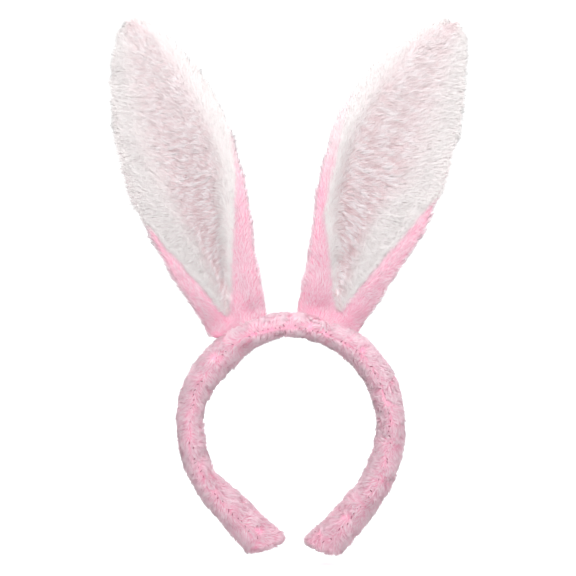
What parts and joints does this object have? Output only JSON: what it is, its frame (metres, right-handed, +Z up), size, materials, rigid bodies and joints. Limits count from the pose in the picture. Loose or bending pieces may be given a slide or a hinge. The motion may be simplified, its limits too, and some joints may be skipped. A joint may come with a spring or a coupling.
{
  "type": "animal ears headband",
  "caption": "Plush-wrapped sprung headband in a near-closed ring with two upright wired ears, white plush fronts and pink plush backs.",
  "frame": {"origin": "centre of the head circle, midway across the band's width", "axes": "+Z up through the crown towards the ears, -Y towards the front (the white faces of the ears), +X to the right as seen from the front"},
  "size_m": [0.2274, 0.027, 0.3483],
  "materials": {
    "pink_plush": "matte",
    "white_plush": "matte",
    "thread": "matte",
    "foam": "matte",
    "core_plastic": "satin",
    "wire_steel": "satin"
  },
  "bodies": {
    "crown": {"band_core_crown": "core_plastic", "band_foam_crown": "foam", "band_sleeve_crown": "pink_plush", "band_seam_crown": "thread", "left_ear_root_pad": "pink_plush", "left_ear_root_stitches": "thread", "right_ear_root_pad": "pink_plush", "right_ear_root_stitches": "thread"},
    "left_arm": {"left_band_core": "core_plastic", "left_band_foam": "foam", "left_band_sleeve": "pink_plush", "left_band_seam": "thread", "left_end_patch": "pink_plush", "left_end_stitches": "thread"},
    "right_arm": {"right_band_core": "core_plastic", "right_band_foam": "foam", "right_band_sleeve": "pink_plush", "right_band_seam": "thread", "right_end_patch": "pink_plush", "right_end_stitches": "thread"},
    "left_ear": {"left_ear_wire": "wire_steel", "left_ear_foam": "foam", "left_ear_back_panel": "pink_plush", "left_ear_front_panel": "white_plush", "left_ear_edge_seam": "thread"},
    "right_ear": {"right_ear_wire": "wire_steel", "right_ear_foam": "foam", "right_ear_back_panel": "pink_plush", "right_ear_front_panel": "white_plush", "right_ear_edge_seam": "thread"}
  },
  "joints": [
    {"name": "left_arm_flex", "type": "hinge", "parent": "crown", "child": "left_arm", "pos_m": [-0.05607, 0, 0.02981], "axis": [0, 1, 0], "range_deg": [-2, 24], "stiffness_Nm_per_rad": 1},
    {"name": "right_arm_flex", "type": "hinge", "parent": "crown", "child": "right_arm", "pos_m": [0.05607, 0, 0.02981], "axis": [0, -1, 0], "range_deg": [-2, 24], "stiffness_Nm_per_rad": 1},
    {"name": "left_ear_tilt", "type": "hinge", "parent": "crown", "child": "left_ear", "pos_m": [-0.03708, 0, 0.06829], "axis": [0.9511, 0, 0.309], "range_deg": [-50, 60]},
    {"name": "right_ear_tilt", "type": "hinge", "parent": "crown", "child": "right_ear", "pos_m": [0.02865, 0, 0.0709], "axis": [0.9426, 0, -0.3338], "range_deg": [-50, 60]}
  ]
}
